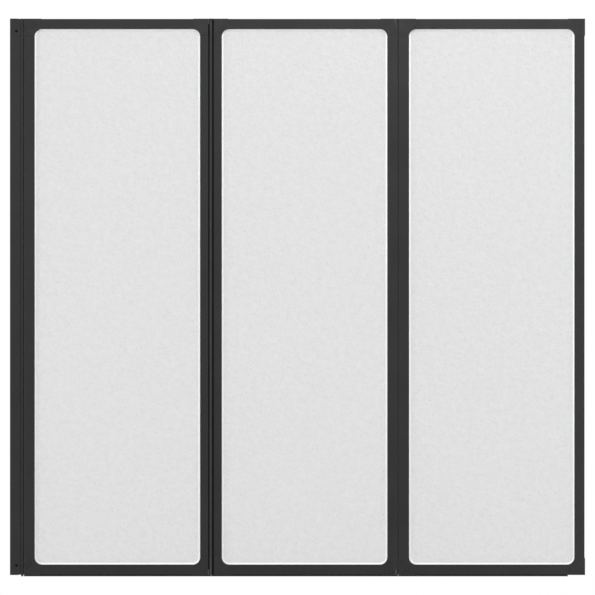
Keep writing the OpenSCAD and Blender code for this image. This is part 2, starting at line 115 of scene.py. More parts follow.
# A cross recess at its floor and at its mouth: height, reach and half width, as shares of the head
RECESS_FLOOR = (0.42, 0.26, 0.08)
RECESS_MOUTH = (1.1, 0.52, 0.125)
# Edge of a countersunk head: height and radius of its outlines, as shares of the head
COUNTERSUNK_EDGE = ((-0.08, 1), (-0.02, 0.985), (0, 0.95))
SOCKET_SIDES = 6

# Each lamp's place, what it shines at, its width and its height
LAMPS = {
    "key": ((1.0, -1.7, 1.6), (0.8, 0, 0.3), 1.0, 0.6),
    "right": ((2.3, -2.3, 0), (0.75, 0, 0), 0.9, 2.2),
    "left": ((-2.2, -1.7, -0.3), (0.45, 0, 0), 0.6, 2.2),
}
# Where the sun stands, seen from the screen's middle, and its width
SUN_PLACE = Vector((-0.72, -2.4, 1.3))
SUN_WIDTH = math.radians(30)
FLOOR_SIDES = 128
CAMERA_REACH = 100


def panel_node(number, part):
    """Name of a part's node in one panel."""
    return f"panel_{number}_{part}"


def panel_body(number):
    """Name of a panel's body."""
    return f"panel_{number}"


class ScreenFinishes(bpy.types.PropertyGroup):
    """Colours and gloss of the screen's materials."""

    frame_color: FloatVectorProperty(
        name="Frame", description="Powder coat of the profiles", subtype="COLOR",
        size=3, default=(0.015, 0.0151, 0.0154), min=0, max=1)
    moulding_color: FloatVectorProperty(
        name="Mouldings", description="Plastic of corner pieces, caps and brackets", subtype="COLOR",
        size=3, default=(0.015, 0.0151, 0.0154), min=0, max=1)
    pane_color: FloatVectorProperty(
        name="Panes", description="Translucent polystyrene of the panes", subtype="COLOR",
        size=3, default=(0.766, 0.768, 0.768), min=0, max=1)
    gasket_color: FloatVectorProperty(
        name="Gaskets", description="White glazing gaskets", subtype="COLOR",
        size=3, default=(0.95, 0.95, 0.947), min=0, max=1)
    seal_color: FloatVectorProperty(
        name="Seals", description="Black rubber of the bottom seals", subtype="COLOR",
        size=3, default=(0.016, 0.016, 0.0165), min=0, max=1)
    bush_color: FloatVectorProperty(
        name="Bushes", description="Black acetal of the hinge bushes", subtype="COLOR",
        size=3, default=(0.018, 0.018, 0.018), min=0, max=1)
    steel_color: FloatVectorProperty(
        name="Steel", description="Stainless steel of pins and frame screws", subtype="COLOR",
        size=3, default=(0.56, 0.57, 0.58), min=0, max=1)
    black_color: FloatVectorProperty(
        name="Black screws", description="Blackened steel of the adjusting screws", subtype="COLOR",
        size=3, default=(0.004, 0.004, 0.0042), min=0, max=1)


class ScreenSizes(bpy.types.PropertyGroup):
    """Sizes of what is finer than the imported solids."""

    relief_step: FloatProperty(
        name="Relief step", description="Distance between two points of a pane's pebbled face",
        default=0.0023, min=0.0018, max=0.006, unit="LENGTH")
    pebble_size: FloatProperty(
        name="Pebble size", description="Distance between two pebbles of the relief",
        default=0.0075, min=0.004, max=0.02, unit="LENGTH")
    pebble_depth: FloatProperty(
        name="Pebble depth", description="How deep the relief is sunk into a pane's face",
        default=0.0007, min=0.0001, max=0.001, unit="LENGTH")
    pane_corner: FloatProperty(
        name="Pane corner", description="Radius of a pane's corners, inside the frame",
        default=0.005, min=0.002, max=0.008, unit="LENGTH")
    corner_facets: IntProperty(
        name="Corner facets", description="Cuts that round each corner of a pane",
        default=4, min=2, max=8)
    moulding_edge: FloatProperty(
        name="Moulding edge", description="Soft edge of the moulded pieces",
        default=0.00025, min=0.0001, max=0.0005, unit="LENGTH")
    gasket_edge: FloatProperty(
        name="Gasket edge", description="Round edge of the gasket's lips",
        default=0.0009, min=0.0005, max=0.0018, unit="LENGTH")
    pin_edge: FloatProperty(
        name="Pin edge", description="Chamfer on the ends of the hinge pins",
        default=0.0003, min=0.0001, max=0.0006, unit="LENGTH")
    frame_shank: FloatProperty(
        name="Frame screw shank", description="Radius of the screws that hold the corner pieces",
        default=0.0016, min=0.0012, max=0.0018, unit="LENGTH")
    frame_head: FloatProperty(
        name="Frame screw head", description="Height of their heads",
        default=0.0018, min=0.0012, max=0.0024, unit="LENGTH")
    frame_thread: FloatProperty(
        name="Frame screw thread", description="Pitch of their threads",
        default=0.0013, min=0.0008, max=0.002, unit="LENGTH")
    adjust_shank: FloatProperty(
        name="Adjusting screw shank", description="Radius of the screws in the wall channel",
        default=0.0015, min=0.0012, max=0.0017, unit="LENGTH")
    adjust_head: FloatProperty(
        name="Adjusting screw head", description="Height of their countersunk heads",
        default=0.0013, min=0.0008, max=0.002, unit="LENGTH")
    adjust_thread: FloatProperty(
        name="Adjusting screw thread", description="Pitch of their threads",
        default=0.0006, min=0.0005, max=0.001, unit="LENGTH")
    socket: FloatProperty(
        name="Socket", description="Radius of the hexagon socket in their heads",
        default=0.0013, min=0.001, max=0.0015, unit="LENGTH")
    thread_depth: FloatProperty(
        name="Thread depth", description="Share of a screw's radius that its thread is cut into",
        default=0.22, min=0.1, max=0.3)


class ScreenStage(bpy.types.PropertyGroup):
    """Camera, floor and lamps."""

    lens: FloatProperty(
        name="Lens", description="Focal length of the camera in millimetres",
        default=250, min=35, max=400)
    view_width: FloatProperty(
        name="View width", description="Width of the picture at the frames' front",
        default=1.2916, min=0.5, max=4, unit="LENGTH")
    view_x: FloatProperty(
        name="View centre X", description="Place of the picture's centre along the screen",
        default=0.624, unit="LENGTH")
    view_z: FloatProperty(
        name="View centre Z", description="Height of the picture's centre",
        default=-0.0015, unit="LENGTH")
    floor_drop: FloatProperty(
        name="Floor drop", description="Height of the seals over the floor, as on a bath's rim",
        default=0.58, min=0.01, max=2, unit="LENGTH")
    floor_radius: FloatProperty(
        name="Floor radius", description="Radius of the round floor",
        default=7, min=2, max=40, unit="LENGTH")
    ambient: FloatProperty(
        name="Ambient", description="Light of the pale room from all sides",
        default=0.48, min=0, max=2)
    mirrored_low: FloatProperty(
        name="Mirrored low", description="Brightness of the room below the horizon in reflections",
        default=0.1, min=0, max=2)
    mirrored_high: FloatProperty(
        name="Mirrored high", description="Brightness of the room above the horizon in reflections",
        default=1.0, min=0, max=2)
    horizon: FloatProperty(
        name="Horizon", description="Half the height over which the mirrored room changes",
        default=0.1, min=0.01, max=1)
    floor_shade: FloatProperty(
        name="Floor shade", description="How much light the floor throws back",
        default=0.45, min=0, max=1)
    floor_glow: FloatProperty(
        name="Floor glow", description="What lifts the floor to white in the picture",
        default=0.66, min=0, max=1)
    floor_behind: FloatProperty(
        name="Floor behind", description="What lifts the floor where it shows through the panes",
        default=0.55, min=0, max=1)
    sun_strength: FloatProperty(
        name="Sun", description="Strength of the wide soft light from the upper left",
        default=0.7, min=0, max=10)
    key_power: FloatProperty(
        name="Key lamp", description="Power of the lamp over the screen's front",
        default=26, min=0, max=500, unit="POWER")
    right_power: FloatProperty(
        name="Right lamp", description="Power of the tall lamp at the front right",
        default=21, min=0, max=500, unit="POWER")
    left_power: FloatProperty(
        name="Left lamp", description="Power of the tall lamp at the far left",
        default=50, min=0, max=500, unit="POWER")


def settings():
    """The three property groups of the scene."""
    scene = bpy.context.scene
    return scene.bath_screen_finishes, scene.bath_screen_sizes, scene.bath_screen_stage


# Materials

def new_material(name, color, roughness, metallic=0.0):
    """A material with its Principled shader; returns the material, its node tree and the shader."""
    material = bpy.data.materials.new(name)
    material.use_nodes = True
    material.diffuse_color = (*color, 1)
    shader = material.node_tree.nodes["Principled BSDF"]
    shader.inputs["Base Color"].default_value = (*color, 1)
    shader.inputs["Roughness"].default_value = roughness
    shader.inputs["Metallic"].default_value = metallic
    return material, material.node_tree, shader


def place_pattern(tree, stretch=(1, 1, 1)):
    """The piece's own place as a pattern's coordinates, stretched along X, Y and Z."""
    place = tree.nodes.new("ShaderNodeTexCoord")
    mapping = tree.nodes.new("ShaderNodeMapping")
    mapping.inputs["Scale"].default_value = stretch
    tree.links.new(place.outputs["Object"], mapping.inputs["Vector"])
    return mapping.outputs["Vector"]


def noise(tree, vector, size, detail):
    """Noise whose features are about size metres across."""
    node = tree.nodes.new("ShaderNodeTexNoise")
    node.inputs["Scale"].default_value = 1 / size
    node.inputs["Detail"].default_value = detail
    tree.links.new(vector, node.inputs["Vector"])
    return node.outputs["Fac"]


def cells(tree, vector, size, softness=0.6):
    """Soft domed cells about size metres across: 0 in their middle, more towards their borders."""
    node = tree.nodes.new("ShaderNodeTexVoronoi")
    node.feature = "SMOOTH_F1"
    node.inputs["Scale"].default_value = 1 / size
    node.inputs["Smoothness"].default_value = softness
    tree.links.new(vector, node.inputs["Vector"])
    return node.outputs["Distance"]


def spread(tree, value, low, high, start, end):
    """Turns a pattern's value between start and end into a value from low to high."""
    node = tree.nodes.new("ShaderNodeMapRange")
    node.inputs["From Min"].default_value = start
    node.inputs["From Max"].default_value = end
    node.inputs["To Min"].default_value = low
    node.inputs["To Max"].default_value = high
    tree.links.new(value, node.inputs["Value"])
    return node.outputs["Result"]


def vary_color(tree, shader, value, color, darker, lighter):
    """Lets the shader's colour wander from darker to lighter times color with a pattern's value."""
    ramp = tree.nodes.new("ShaderNodeValToRGB")
    for element, position, level in zip(ramp.color_ramp.elements, COLOR_ENDS, (darker, lighter)):
        element.position = position
        element.color = (*[min(1.0, channel * level) for channel in color], 1)
    tree.links.new(value, ramp.inputs["Fac"])
    tree.links.new(ramp.outputs["Color"], shader.inputs["Base Color"])


def vary_roughness(tree, shader, value, low, high, start=0.3, end=0.7):
    """Lets the shader's roughness go from low to high as a pattern's value goes from start to end."""
    tree.links.new(spread(tree, value, low, high, start, end), shader.inputs["Roughness"])


def raise_bumps(tree, shader, height, depth, under=None):
    """Adds a bump of depth metres to the shader, over the bump node under, and returns its node."""
    bump = tree.nodes.new("ShaderNodeBump")
    bump.inputs["Distance"].default_value = depth
    tree.links.new(height, bump.inputs["Height"])
    if under is not None:
        tree.links.new(under.outputs["Normal"], bump.inputs["Normal"])
    tree.links.new(bump.outputs["Normal"], shader.inputs["Normal"])
    return bump


def powder_coat(color):
    """Satin powder coat: orange peel, a fine fleck and an uneven gloss."""
    material, tree, shader = new_material("powder_coat", color, roughness=0.35)
    shader.inputs["Specular IOR Level"].default_value = 0.27
    place = place_pattern(tree)
    peel = noise(tree, place, size=0.0011, detail=1.0)
    fleck = noise(tree, place, size=0.00035, detail=0.0)
    cloud = noise(tree, place, size=0.09, detail=3.0)
    vary_color(tree, shader, fleck, color, darker=0.84, lighter=1.16)
    vary_roughness(tree, shader, cloud, low=0.31, high=0.39)
    under = raise_bumps(tree, shader, peel, depth=0.00006)
    raise_bumps(tree, shader, fleck, depth=0.00001, under=under)
    return material


def moulded_plastic(color):
    """Spark-eroded mould grain on dark plastic."""
    material, tree, shader = new_material("moulded_plastic", color, roughness=0.3)
    shader.inputs["Specular IOR Level"].default_value = 0.31
    place = place_pattern(tree)
    grain = noise(tree, place, size=0.0005, detail=2.0)
    flow = noise(tree, place, size=0.02, detail=2.0)
    vary_color(tree, shader, flow, color, darker=0.94, lighter=1.06)
    vary_roughness(tree, shader, flow, low=0.26, high=0.34)
    raise_bumps(tree, shader, grain, depth=0.00002)
    return material


def pebbled_pane(color, pebble_size):
    """Translucent polystyrene with fine dimples between the pebbles, its colour painted lighter and
    darker in patches as painted shade and highlight of the pebbles.
    """
    material, tree, shader = new_material("pebbled_pane", color, roughness=0.3)
    shader.inputs["IOR"].default_value = 1.5
    shader.inputs["Transmission Weight"].default_value = 0.88
    place = place_pattern(tree)
    dimples = cells(tree, place, size=pebble_size / 2)
    painted_relief_shade = noise(tree, place, size=1.7 * pebble_size, detail=1.5)
    # Painted shade and highlight: patches of lighter and darker colour stand in for how light falls on
    # the pebbled relief
    vary_color(tree, shader, painted_relief_shade, color, darker=0.966, lighter=1.021)
    vary_roughness(tree, shader, dimples, low=0.26, high=0.36, start=0.1, end=0.7)
    raise_bumps(tree, shader, dimples, depth=0.0002)
    return material


def white_gasket(color):
    """Soft white gasket, drawn along its length."""
    material, tree, shader = new_material("white_gasket", color, roughness=0.38)
    shader.inputs["Subsurface Weight"].default_value = 0.15
    shader.inputs["Subsurface Scale"].default_value = 0.002
    place = place_pattern(tree)
    handling = noise(tree, place, size=0.012, detail=3.0)
    skin = noise(tree, place, size=0.0006, detail=1.0)
    vary_color(tree, shader, handling, color, darker=0.965, lighter=1.0)
    vary_roughness(tree, shader, handling, low=0.34, high=0.44)
    raise_bumps(tree, shader, skin, depth=0.00003)
    return material


def black_rubber(color):
    """Matte rubber with fine draw lines along the seal."""
    material, tree, shader = new_material("black_rubber", color, roughness=0.6)
    shader.inputs["Specular IOR Level"].default_value = 0.35
    lines = noise(tree, place_pattern(tree, stretch=(0.02, 1, 1)), size=0.0003, detail=2.0)
    bloom = noise(tree, place_pattern(tree), size=0.015, detail=3.0)
    vary_color(tree, shader, bloom, color, darker=0.85, lighter=1.3)
    vary_roughness(tree, shader, bloom, low=0.54, high=0.68)
    raise_bumps(tree, shader, lines, depth=0.00003)
    return material


def black_acetal(color):
    """Black acetal of the bushes, a little waxy."""
    material, tree, shader = new_material("black_acetal", color, roughness=0.36)
    flow = noise(tree, place_pattern(tree), size=0.004, detail=2.0)
    vary_color(tree, shader, flow, color, darker=0.9, lighter=1.12)
    vary_roughness(tree, shader, flow, low=0.32, high=0.42)
    raise_bumps(tree, shader, flow, depth=0.00002)
    return material


def turned_steel(color):
    """Stainless steel with fine rings from turning, round the upright pins and screws."""
    material, tree, shader = new_material("turned_steel", color, roughness=0.3, metallic=1.0)
    rings = noise(tree, place_pattern(tree, stretch=(0.05, 0.05, 1)), size=0.00012, detail=1.0)
    stain = noise(tree, place_pattern(tree), size=0.003, detail=2.0)
    vary_color(tree, shader, stain, color, darker=0.9, lighter=1.08)
    vary_roughness(tree, shader, rings, low=0.24, high=0.4)
    raise_bumps(tree, shader, rings, depth=0.000008)
    return material


def blackened_steel(color):
    """Blackened screw steel with an oily, uneven gloss."""
    material, tree, shader = new_material("blackened_steel", color, roughness=0.42)
    shader.inputs["Specular IOR Level"].default_value = 0.06
    oil = noise(tree, place_pattern(tree), size=0.0012, detail=2.0)
    vary_color(tree, shader, oil, color, darker=0.8, lighter=1.3)
    vary_roughness(tree, shader, oil, low=0.34, high=0.5)
    raise_bumps(tree, shader, oil, depth=0.00002)
    return material


MAKERS = {
    "frame_profile": lambda finishes, sizes: powder_coat(finishes.frame_color),
    "moulding": lambda finishes, sizes: moulded_plastic(finishes.moulding_color),
    "pane": lambda finishes, sizes: pebbled_pane(finishes.pane_color, sizes.pebble_size),
    "gasket": lambda finishes, sizes: white_gasket(finishes.gasket_color),
    "seal": lambda finishes, sizes: black_rubber(finishes.seal_color),
    "bush": lambda finishes, sizes: black_acetal(finishes.bush_color),
    "steel": lambda finishes, sizes: turned_steel(finishes.steel_color),
    "black_screw": lambda finishes, sizes: blackened_steel(finishes.black_color),
}
made_materials = {}


def material_for(slot):
    """The material of a slot, made when it is first asked for."""
    if slot not in made_materials:
        finishes, sizes, _ = settings()
        made_materials[slot] = MAKERS[slot](finishes, sizes)
    return made_materials[slot]


def finish_node(name, slot):
    """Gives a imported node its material."""
    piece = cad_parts[name]
    piece.data.materials.clear()
    piece.data.materials.append(material_for(slot))


# Modelling

def make_active(piece):
    """Selects one piece alone and makes it the active one."""
    bpy.ops.object.select_all(action="DESELECT")
    piece.select_set(True)
    bpy.context.view_layer.objects.active = piece


def start_editing(piece, mode="FACE"):
    """Enters edit mode on one piece with all of it selected."""
    make_active(piece)
    bpy.ops.object.mode_set(mode="EDIT")
    bpy.ops.mesh.select_mode(type=mode)
    bpy.ops.mesh.select_all(action="SELECT")


def stop_editing():
    """Leaves edit mode."""
    bpy.ops.object.mode_set(mode="OBJECT")


def select_edges(piece, test):
    """Selects in object mode the edges whose two ends both pass the test."""
    points = piece.data.vertices
    for face in piece.data.polygons:
        face.select = False
    for edge in piece.data.edges:
        edge.select = all(test(points[i].co) for i in edge.vertices)
    for point in points:
        point.select = False
    for edge in piece.data.edges:
        if edge.select:
            for i in edge.vertices:
                points[i].select = True


def apply_modifier(piece, kind, **values):
    """Adds a modifier with these settings and applies it."""
    make_active(piece)
    modifier = piece.modifiers.new("shaping", kind)
    for name, value in values.items():
        setattr(modifier, name, value)
    bpy.ops.object.modifier_apply(modifier=modifier.name)


def settle(piece):
    """Puts the piece's place into its mesh."""
    make_active(piece)
    bpy.ops.object.transform_apply(location=True, rotation=True, scale=True)


def smooth_by_angle(piece, angle=SMOOTH):
    """Shades the piece smooth, apart from the edges that turn more than the angle."""
    make_active(piece)
    bpy.ops.object.shade_smooth_by_angle(angle=angle)


def dress(piece, name, body, slot, *nodes):
    """Names a finished piece, gives it its material and hands it to its body in place of its nodes."""
    piece.name = name
    piece.data.name = name
    piece.data.materials.clear()
    piece.data.materials.append(material_for(slot))
    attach(piece, body)
    if nodes:
        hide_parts(*nodes)
    piece.select_set(False)


def merged_copy(node):
    """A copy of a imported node's mesh, merged, with its flat faces whole again."""
    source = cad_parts[node]
    piece = bpy.data.objects.new("copy", source.data.copy())
    bpy.context.scene.collection.objects.link(piece)
    make_active(piece)
    bpy.ops.mesh.customdata_custom_splitnormals_clear()
    start_editing(piece)
    bpy.ops.mesh.remove_doubles(threshold=MERGE)
    bpy.ops.mesh.dissolve_limited(angle_limit=FLAT)
    stop_editing()
    return piece


def mark_soft_edges(piece):
    """Marks the sharp outer edges for a bevel, apart from those that end in a thin corner."""
    mesh = piece.data
    points = mesh.vertices
    corners = []
    face_along = {}
    for face in mesh.polygons:
        ring = list(face.vertices)
        for before, at, after in zip(ring[-1:] + ring[:-1], ring, ring[1:] + ring[:1]):
            face_along[at, after] = face
            corners.append((before, at, after))
    sharp = set()
    standing_out = set()
    for edge in mesh.edges:
        start, end = edge.vertices
        near, far = face_along[start, end], face_along[end, start]
        if near.normal.angle(far.normal) > SHARP:
            sharp |= {(start, end), (end, start)}
            into_far = far.normal.cross(points[start].co - points[end].co)
            if into_far.dot(near.normal) < 0:
                standing_out |= {(start, end), (end, start)}
    thin = set()
    for before, at, after in corners:
        back, ahead = points[before].co - points[at].co, points[after].co - points[at].co
        if {(before, at), (at, after)} <= sharp and back.angle(ahead) < THIN_CORNER:
            thin |= {(before, at), (at, before), (at, after), (after, at)}
    soft = standing_out - thin
    marks = mesh.attributes.new("bevel_weight_edge", "FLOAT", "EDGE")
    for edge in mesh.edges:
        marks.data[edge.index].value = float(tuple(edge.vertices) in soft)


def soften_edges(piece, width, segments=2):
    """Rounds the piece's sharp outer edges by width."""
    mark_soft_edges(piece)
    apply_modifier(piece, "BEVEL", width=width, segments=segments, limit_method="WEIGHT",
                   use_clamp_overlap=False)
    smooth_by_angle(piece, ROUNDED)
    apply_modifier(piece, "WEIGHTED_NORMAL", keep_sharp=True)


def solids_of(node):
    """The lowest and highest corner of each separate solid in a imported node, from top to bottom."""
    piece = merged_copy(node)
    make_active(piece)
    bpy.ops.mesh.separate(type="LOOSE")
    parts = list(bpy.context.selected_objects)
    corners = []
    for part in parts:
        points = [point.co for point in part.data.vertices]
        low = Vector([min(point[i] for point in points) for i in range(3)])
        high = Vector([max(point[i] for point in points) for i in range(3)])
        corners.append((low, high))
    for part in parts:
        bpy.data.objects.remove(part)
    return sorted(corners, key=lambda box: (-box[0].z, box[0].x))


def pane_relief(piece, sizes):
    """Sinks the pebbled relief into the pane's front face."""
    pebbles = bpy.data.textures.new("pebbles", "VORONOI")
    pebbles.distance_metric = "DISTANCE_SQUARED"
    pebbles.noise_scale = sizes.pebble_size
    pebbles.weight_1 = 1
    ripple = bpy.data.textures.new("ripple", "CLOUDS")
    ripple.noise_scale = RIPPLE_WIDTH * sizes.pebble_size
    ripple.noise_depth = 1
    for texture, share in ((pebbles, PEBBLE_SHARE), (ripple, RIPPLE_SHARE)):
        apply_modifier(piece, "DISPLACE", texture=texture, texture_coords="LOCAL", direction="Y",
                       strength=share * sizes.pebble_depth, mid_level=0)


def round_pane_corners(piece, low, high, sizes):
    """Cuts the corners of a flat pane round, with a few straight cuts each."""
    start_editing(piece)
    for x, to_x in ((low.x, -1), (high.x, 1)):
        for z, to_z in ((low.z, -1), (high.z, 1)):
            centre = Vector((x - to_x * sizes.pane_corner, 0, z - to_z * sizes.pane_corner))
            for cut in range(sizes.corner_facets):
                angle = (cut + 0.5) / sizes.corner_facets * math.pi / 2
                away = Vector((to_x * math.cos(angle), 0, to_z * math.sin(angle)))
                bpy.ops.mesh.select_all(action="SELECT")
                bpy.ops.mesh.bisect(plane_co=centre + away * sizes.pane_corner, plane_no=away,
                                    clear_outer=True)
    stop_editing()


def back_of_pane(piece, front, back):
    """Draws the rim of the relief from y = front to y = back and closes it with a flat face."""
    start_editing(piece, "EDGE")
    bpy.ops.mesh.select_all(action="DESELECT")
    bpy.ops.mesh.select_non_manifold(extend=False)
    bpy.ops.mesh.extrude_edges_move(TRANSFORM_OT_translate={"value": (0, back - front, 0)})
    bpy.ops.transform.resize(value=(1, 0, 1), center_override=(0, back, 0))
    bpy.ops.mesh.edge_face_add()
    bpy.ops.mesh.select_all(action="SELECT")
    bpy.ops.mesh.normals_make_consistent(inside=False)
    stop_editing()


def model_pane(number, sizes):
    """A closed sheet with a pebbled front face and a flat back."""
    low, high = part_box(panel_node(number, "pane"))
    width, height = high.x - low.x, high.z - low.z
    bpy.ops.mesh.primitive_grid_add(
        x_subdivisions=round(width / sizes.relief_step),
        y_subdivisions=round(height / sizes.relief_step),
        size=1, rotation=(math.pi / 2, 0, 0),
        location=((low.x + high.x) / 2, low.y, (low.z + high.z) / 2))
    piece = bpy.context.object
    piece.scale = (width, height, 1)
    settle(piece)
    round_pane_corners(piece, low, high, sizes)
    pane_relief(piece, sizes)
    back_of_pane(piece, low.y, high.y)
    smooth_by_angle(piece)
    return piece


def round_gasket_lips(piece, number, sizes):
    """Rounds the two inner edges of the gasket's lips, which lie on the pane."""
    low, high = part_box(panel_node(number, "glazing_gasket"))

    def on_lip(point):
        on_face = abs(abs(point.y) - high.y) < MERGE * 10
        depth = min(point.x - low.x, high.x - point.x, point.z - low.z, high.z - point.z)
        return on_face and depth > LIP_ROOT

    select_edges(piece, on_lip)
    make_active(piece)
    bpy.ops.object.mode_set(mode="EDIT")
    bpy.ops.mesh.select_mode(type="EDGE")
    bpy.ops.mesh.bevel(offset=sizes.gasket_edge, segments=LIP_FACETS, profile=0.5, clamp_overlap=False)
    stop_editing()
    smooth_by_angle(piece)


def turned_pin(low, high, edge):
    """A hinge pin with chamfered ends, between two corners."""
    radius = (high.x - low.x) / 2
    bpy.ops.mesh.primitive_cylinder_add(vertices=PIN_SIDES, radius=radius, depth=high.z - low.z,
                                        location=(low + high) / 2)
    piece = bpy.context.object
    settle(piece)
    start_editing(piece)
    bpy.ops.mesh.select_all(action="DESELECT")
    stop_editing()
    for face in piece.data.polygons:
        is_end = abs(face.normal.z) > 0.9
        face.select = is_end
    bpy.ops.object.mode_set(mode="EDIT")
    bpy.ops.mesh.bevel(offset=edge, segments=1, clamp_overlap=True)
    stop_editing()
    smooth_by_angle(piece)
    return piece


def join_pieces(pieces):
    """Joins several meshes into the first one and returns it."""
    bpy.ops.object.select_all(action="DESELECT")
    for piece in pieces:
        piece.select_set(True)
    bpy.context.view_layer.objects.active = pieces[0]
    bpy.ops.object.join()
    return bpy.context.object


def loft(outlines):
    """A closed piece through outlines with as many points each, from the lowest up."""
    mesh = bmesh.new()
    loops = [[mesh.verts.new(point) for point in outline] for outline in outlines]
    for lower, upper in zip(loops, loops[1:]):
        for corners in zip(lower, lower[1:] + lower[:1], upper[1:] + upper[:1], upper):
            mesh.faces.new(corners)
    mesh.faces.new(loops[0][::-1])
    mesh.faces.new(loops[-1])
    data = bpy.data.meshes.new("loft")
    mesh.to_mesh(data)
    mesh.free()
    piece = bpy.data.objects.new("loft", data)
    bpy.context.scene.collection.objects.link(piece)
    return piece


def ring(height, radius, sides=SCREW_SIDES):
    """Points round the Z axis."""
    angles = [2 * math.pi * side / sides for side in range(sides)]
    return [(radius * math.cos(angle), radius * math.sin(angle), height) for angle in angles]


def cross(height, reach, half_width):
    """Outline of a cross recess."""
    arm = [Vector((reach, -half_width)), Vector((reach, half_width)), Vector((half_width, half_width))]
    turns = [Matrix.Rotation(quarter * math.pi / 2, 2) for quarter in range(4)]
    return [(*(turn @ corner), height) for turn in turns for corner in arm]


def threaded_shank(length, radius, pitch, depth):
    """Outlines of a shank from its blunt tip up to z = 0, with a thread that runs out at its top."""
    count = round(length / pitch * THREAD_RINGS)
    outlines = []
    for step in range(count + 1):
        height = length * (step / count - 1)
        tip = min(1, TIP_RADIUS + TIP_GROWTH * step / THREAD_RINGS)
        run_out = min(1, (count - step) / THREAD_RINGS)
        outline = []
        for side in range(SCREW_SIDES):
            turn = side / SCREW_SIDES
            flank = min(1, FLANK_SLOPE * abs(2 * ((height / pitch - turn) % 1) - 1))
            out = radius * tip * (1 - depth * run_out * flank)
            angle = 2 * math.pi * turn
            outline.append((out * math.cos(angle), out * math.sin(angle), height))
        outlines.append(outline)
    return outlines


def cut_recess(screw, outlines):
    """Cuts the recess for the driver into a screw's head."""
    cutter = loft(outlines)
    apply_modifier(screw, "BOOLEAN", object=cutter, operation="DIFFERENCE", solver="EXACT")
    bpy.data.objects.remove(cutter)
    smooth_by_angle(screw)


def pan_head_screw(length, head_radius, sizes):
    """Screw with a pan head and a cross recess; its head's seat is at z = 0, length is over all."""
    head = sizes.frame_head
    outlines = threaded_shank(length - head, sizes.frame_shank, sizes.frame_thread, sizes.thread_depth)
    outlines += [ring(0, PAN_FOOT * head_radius), ring(PAN_EDGE * head, head_radius)]
    for step in range(PAN_RINGS + 1):
        angle = step / PAN_RINGS * math.pi / 2
        height = PAN_RIM + (1 - PAN_RIM) * math.sin(angle)
        width = PAN_TOP + (1 - PAN_TOP) * math.cos(angle)
        outlines.append(ring(head * height, head_radius * width))
    screw = loft(outlines)
    recess = [cross(height * head, reach * head_radius, half_width * head_radius)
              for height, reach, half_width in (RECESS_FLOOR, RECESS_MOUTH)]
    cut_recess(screw, recess)
    return screw


def countersunk_screw(length, head_radius, sizes):
    """Screw with a countersunk head and a hexagon socket; its head's face is at z = 0."""
    head = sizes.adjust_head
    shank = threaded_shank(length - head, sizes.adjust_shank, sizes.adjust_thread, sizes.thread_depth)
    outlines = [[(x, y, z - head) for x, y, z in outline] for outline in shank]
    outlines += [ring(height * head, width * head_radius) for height, width in COUNTERSUNK_EDGE]
    screw = loft(outlines)
    cut_recess(screw, [ring(height, sizes.socket, SOCKET_SIDES) for height in (-head, head)])
    return screw


def copies_at(template, places):
    """Puts a copy of the template at each place and joins them; the template is removed."""
    copies = []
    for place in places:
        piece = bpy.data.objects.new("copy", template.data.copy())
        bpy.context.scene.collection.objects.link(piece)
        piece.matrix_world = place
        settle(piece)
        copies.append(piece)
    bpy.data.objects.remove(template)
    return join_pieces(copies)


def model_frame_screws(node, sizes):
    """The frame screws of a node, with their heads towards the frame's two ends."""
    boxes = solids_of(node)
    places = []
    for low, high in boxes:
        middle = (low + high) / 2
        at_top = middle.z > 0
        seat = high.z - sizes.frame_head if at_top else low.z + sizes.frame_head
        turn = Matrix.Rotation(0 if at_top else math.pi, 4, "X")
        places.append(Matrix.Translation((middle.x, middle.y, seat)) @ turn)
    low, high = boxes[0]
    return copies_at(pan_head_screw(high.z - low.z, (high.x - low.x) / 2, sizes), places)


def model_adjusting_screws(node, sizes):
    """The two adjusting screws, with their heads in the channel's front."""
    boxes = solids_of(node)
    turn = Matrix.Rotation(math.pi / 2, 4, "X")
    places = []
    for low, high in boxes:
        middle = (low + high) / 2
        places.append(Matrix.Translation((middle.x, low.y, middle.z)) @ turn)
    low, high = boxes[0]
    return copies_at(countersunk_screw(high.y - low.y, (high.x - low.x) / 2, sizes), places)


# Operators

class BATHSCREEN_OT_profiles(bpy.types.Operator):
    """Powder-coats the stiles, rails, post and wall channel"""

    bl_idname = "bath_screen.profiles"
    bl_label = "Frame profiles"

    def execute(self, context):
        finish_node("wall_profile", "frame_profile")
        finish_node("hinge_post", "frame_profile")
        for number in PANELS:
            for part in ("left_stile", "right_stile", "top_rail", "bottom_rail"):
                finish_node(panel_node(number, part), "frame_profile")
        return {"FINISHED"}


class BATHSCREEN_OT_corner_pieces(bpy.types.Operator):
    """Makes the moulded corner pieces, with soft edges"""

    bl_idname = "bath_screen.corner_pieces"
    bl_label = "Corner pieces"

    def execute(self, context):
        sizes = settings()[1]
        for number in PANELS:
            for end in ENDS:
                for side in SIDES:
                    node = panel_node(number, f"corner_{end}_{side}")
                    piece = merged_copy(node)
                    soften_edges(piece, sizes.moulding_edge)
                    name = f"corner_piece_{number}_{end}_{side}"
                    dress(piece, name, panel_body(number), "moulding", node)
        return {"FINISHED"}


class BATHSCREEN_OT_wall_mouldings(bpy.types.Operator):
    """Makes the channel's caps and the post's brackets, with soft edges"""

    bl_idname = "bath_screen.wall_mouldings"
    bl_label = "Caps and brackets"

    def execute(self, context):
        sizes = settings()[1]
        for end in ENDS:
            for node, name in ((f"wall_cap_{end}", f"channel_cap_{end}"),
                               (f"post_bracket_{end}", f"bracket_{end}")):
                piece = merged_copy(node)
                soften_edges(piece, sizes.moulding_edge)
                dress(piece, name, "wall_frame", "moulding", node)
        return {"FINISHED"}


